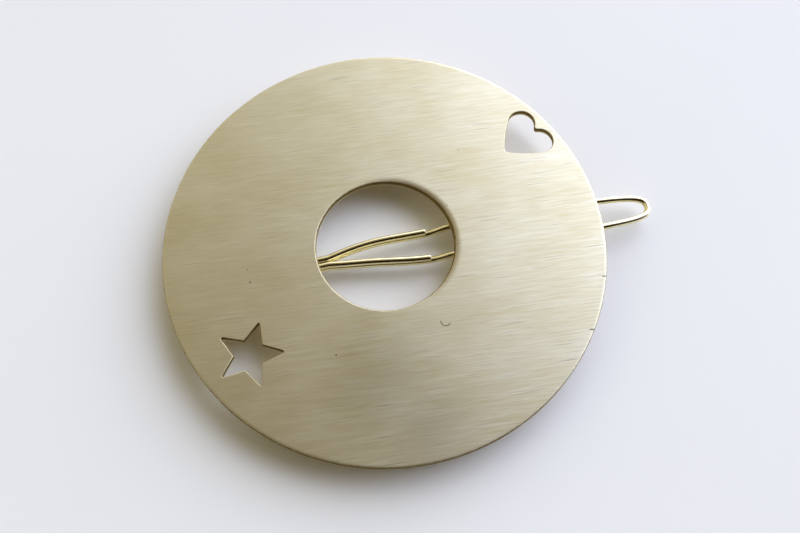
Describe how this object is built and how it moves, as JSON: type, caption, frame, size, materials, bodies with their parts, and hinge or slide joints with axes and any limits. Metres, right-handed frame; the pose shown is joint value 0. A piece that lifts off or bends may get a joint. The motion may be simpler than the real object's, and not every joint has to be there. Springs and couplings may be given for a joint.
{
  "type": "disc hairpin",
  "caption": "Flat brass disc hairpin with a round centre hole and heart and star cut-outs, on a sprung wire hair clip soldered behind the disc.",
  "frame": {"origin": "middle of the underside of the bounding box, at the height of the tail eyes' lowest point", "axes": "+X along the clip from its tail to its tip, +Y to the far leg's side, +Z out of the disc's brushed face"},
  "size_m": [0.0676, 0.06, 0.0039],
  "materials": {
    "brushed_brass": "brushed along one direction, satin, with softly rounded edges",
    "gilt_spring_wire": "spring steel wire with a bright gold plating",
    "silver_solder": "silver solder as it flowed, satin"
  },
  "bodies": {
    "disc_body": {"disc": "brushed_brass", "upper_leg_far": "gilt_spring_wire", "upper_leg_near": "gilt_spring_wire", "tail_eye_far": "gilt_spring_wire", "tail_eye_near": "gilt_spring_wire", "solder_fillet_far": "silver_solder", "solder_fillet_near": "silver_solder"},
    "spring_arm": {"spring_arm": "gilt_spring_wire"}
  },
  "joints": [
    {"name": "spring_arm_open", "type": "hinge", "parent": "disc_body", "child": "spring_arm", "pos_m": [-0.02488, -0.0005, 0.00145], "axis": [0, 1, 0], "range_deg": [0, 10], "stiffness_Nm_per_rad": 0.7, "springref_deg": -2.29}
  ]
}
